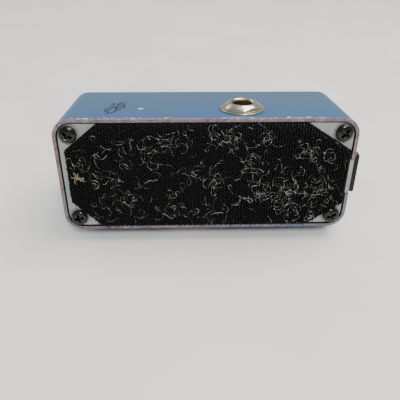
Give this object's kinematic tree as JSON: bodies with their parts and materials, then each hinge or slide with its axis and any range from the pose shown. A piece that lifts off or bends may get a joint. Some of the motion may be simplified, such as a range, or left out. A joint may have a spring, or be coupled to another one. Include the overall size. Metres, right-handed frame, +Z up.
{
  "type": "guitar amp head",
  "caption": "Pedal-format guitar amp head in a small die-cast case with a hook-tape base, side jacks, power socket, knobs and a foot switch.",
  "frame": {"origin": "on the outer face of the hook tape, on the case's long middle line, half way along the case", "axes": "+X towards the end with the power socket, +Y out through the control face, +Z up through the wall with the input jack; the part lies on its -Z side"},
  "size_m": [0.0952, 0.048, 0.043],
  "materials": {
    "case_paint": "worn satin paint",
    "plate_paint": "satin light grey",
    "black_screw": "black nickel",
    "hook_tape": "nylon hooks",
    "nickel": "polished nickel",
    "shaft_metal": "turned",
    "knob_plastic": "satin moulded",
    "contact_metal": "plated",
    "circuit_board": "solder mask",
    "washer_nylon": "nylon",
    "switch_housing": "moulded",
    "lamp_lens": "clear",
    "button_plastic": "satin moulded",
    "spring_steel": "drawn wire",
    "capacitor_sleeve": "sleeved can",
    "chip_plastic": "moulded",
    "black_plastic": "moulded"
  },
  "bodies": {
    "case": {"base_plate": "plate_paint", "base_screws": "black_screw", "bass_pot_housing": "black_plastic", "board_header": "black_plastic", "board_header_pins": "contact_metal", "board_screws": "spring_steel", "board_standoffs": "contact_metal", "button_housing": "black_plastic", "button_spring": "spring_steel", "capacitors": "capacitor_sleeve", "chips": "chip_plastic", "control_board": "circuit_board", "enclosure": "case_paint", "footswitch_board": "circuit_board", "footswitch_bushing": "nickel", "footswitch_header": "black_plastic", "footswitch_housing": "switch_housing", "footswitch_inner_nut": "nickel", "footswitch_lugs": "contact_metal", "footswitch_nut": "nickel", "footswitch_spring": "spring_steel", "footswitch_washer": "washer_nylon", "gain_pot_housing": "black_plastic", "hook_pad": "hook_tape", "input_jack_bushing": "nickel", "input_jack_ground_contact": "contact_metal", "input_jack_housing": "black_plastic", "input_jack_lock_washer": "nickel", "input_jack_nut": "nickel", "input_jack_tip_contact": "contact_metal", "lamp_bezel": "nickel", "lamp_leads": "contact_metal", "lamp_lens": "lamp_lens", "main_board": "circuit_board", "middle_pot_housing": "black_plastic", "output_jack_bushing": "nickel", "output_jack_ground_contact": "contact_metal", "output_jack_housing": "black_plastic", "output_jack_lock_washer": "nickel", "output_jack_nut": "nickel", "output_jack_tip_contact": "contact_metal", "pot_nuts": "nickel", "power_socket_housing": "black_plastic", "power_socket_pin": "contact_metal", "power_socket_terminals": "contact_metal", "treble_pot_housing": "black_plastic", "volume_pot_housing": "black_plastic"},
    "gain_control": {"gain_shaft": "shaft_metal", "gain_knob": "knob_plastic"},
    "volume_control": {"volume_shaft": "shaft_metal", "volume_knob": "knob_plastic"},
    "bass_control": {"bass_shaft": "shaft_metal", "bass_knob": "knob_plastic"},
    "middle_control": {"middle_shaft": "shaft_metal", "middle_knob": "knob_plastic"},
    "treble_control": {"treble_shaft": "shaft_metal", "treble_knob": "knob_plastic"},
    "footswitch_button": {"footswitch_plunger": "nickel"},
    "cabinet_button": {"button_cap": "button_plastic"}
  },
  "joints": [
    {"name": "gain_turn", "type": "hinge", "parent": "case", "child": "gain_control", "pos_m": [0.033, 0.033, 0.0086], "axis": [0, -1, 0], "range_deg": [-175, 125]},
    {"name": "volume_turn", "type": "hinge", "parent": "case", "child": "volume_control", "pos_m": [0.033, 0.033, -0.0086], "axis": [0, -1, 0], "range_deg": [-110, 190]},
    {"name": "bass_turn", "type": "hinge", "parent": "case", "child": "bass_control", "pos_m": [0.019, 0.033, 0.0114], "axis": [0, -1, 0], "range_deg": [-150, 150]},
    {"name": "middle_turn", "type": "hinge", "parent": "case", "child": "middle_control", "pos_m": [0.019, 0.033, 0], "axis": [0, -1, 0], "range_deg": [-135, 165]},
    {"name": "treble_turn", "type": "hinge", "parent": "case", "child": "treble_control", "pos_m": [0.019, 0.033, -0.0114], "axis": [0, -1, 0], "range_deg": [-185, 115]},
    {"name": "footswitch_press", "type": "slide", "parent": "case", "child": "footswitch_button", "axis": [0, -1, 0], "range_m": [0, 0.0018], "stiffness_N_per_m": 3000, "springref_m": -0.002, "deforming": ["footswitch_spring"]},
    {"name": "cabinet_press", "type": "slide", "parent": "case", "child": "cabinet_button", "axis": [0, -1, 0], "range_m": [0, 0.001], "stiffness_N_per_m": 900, "springref_m": -0.001, "deforming": ["button_spring"]}
  ]
}
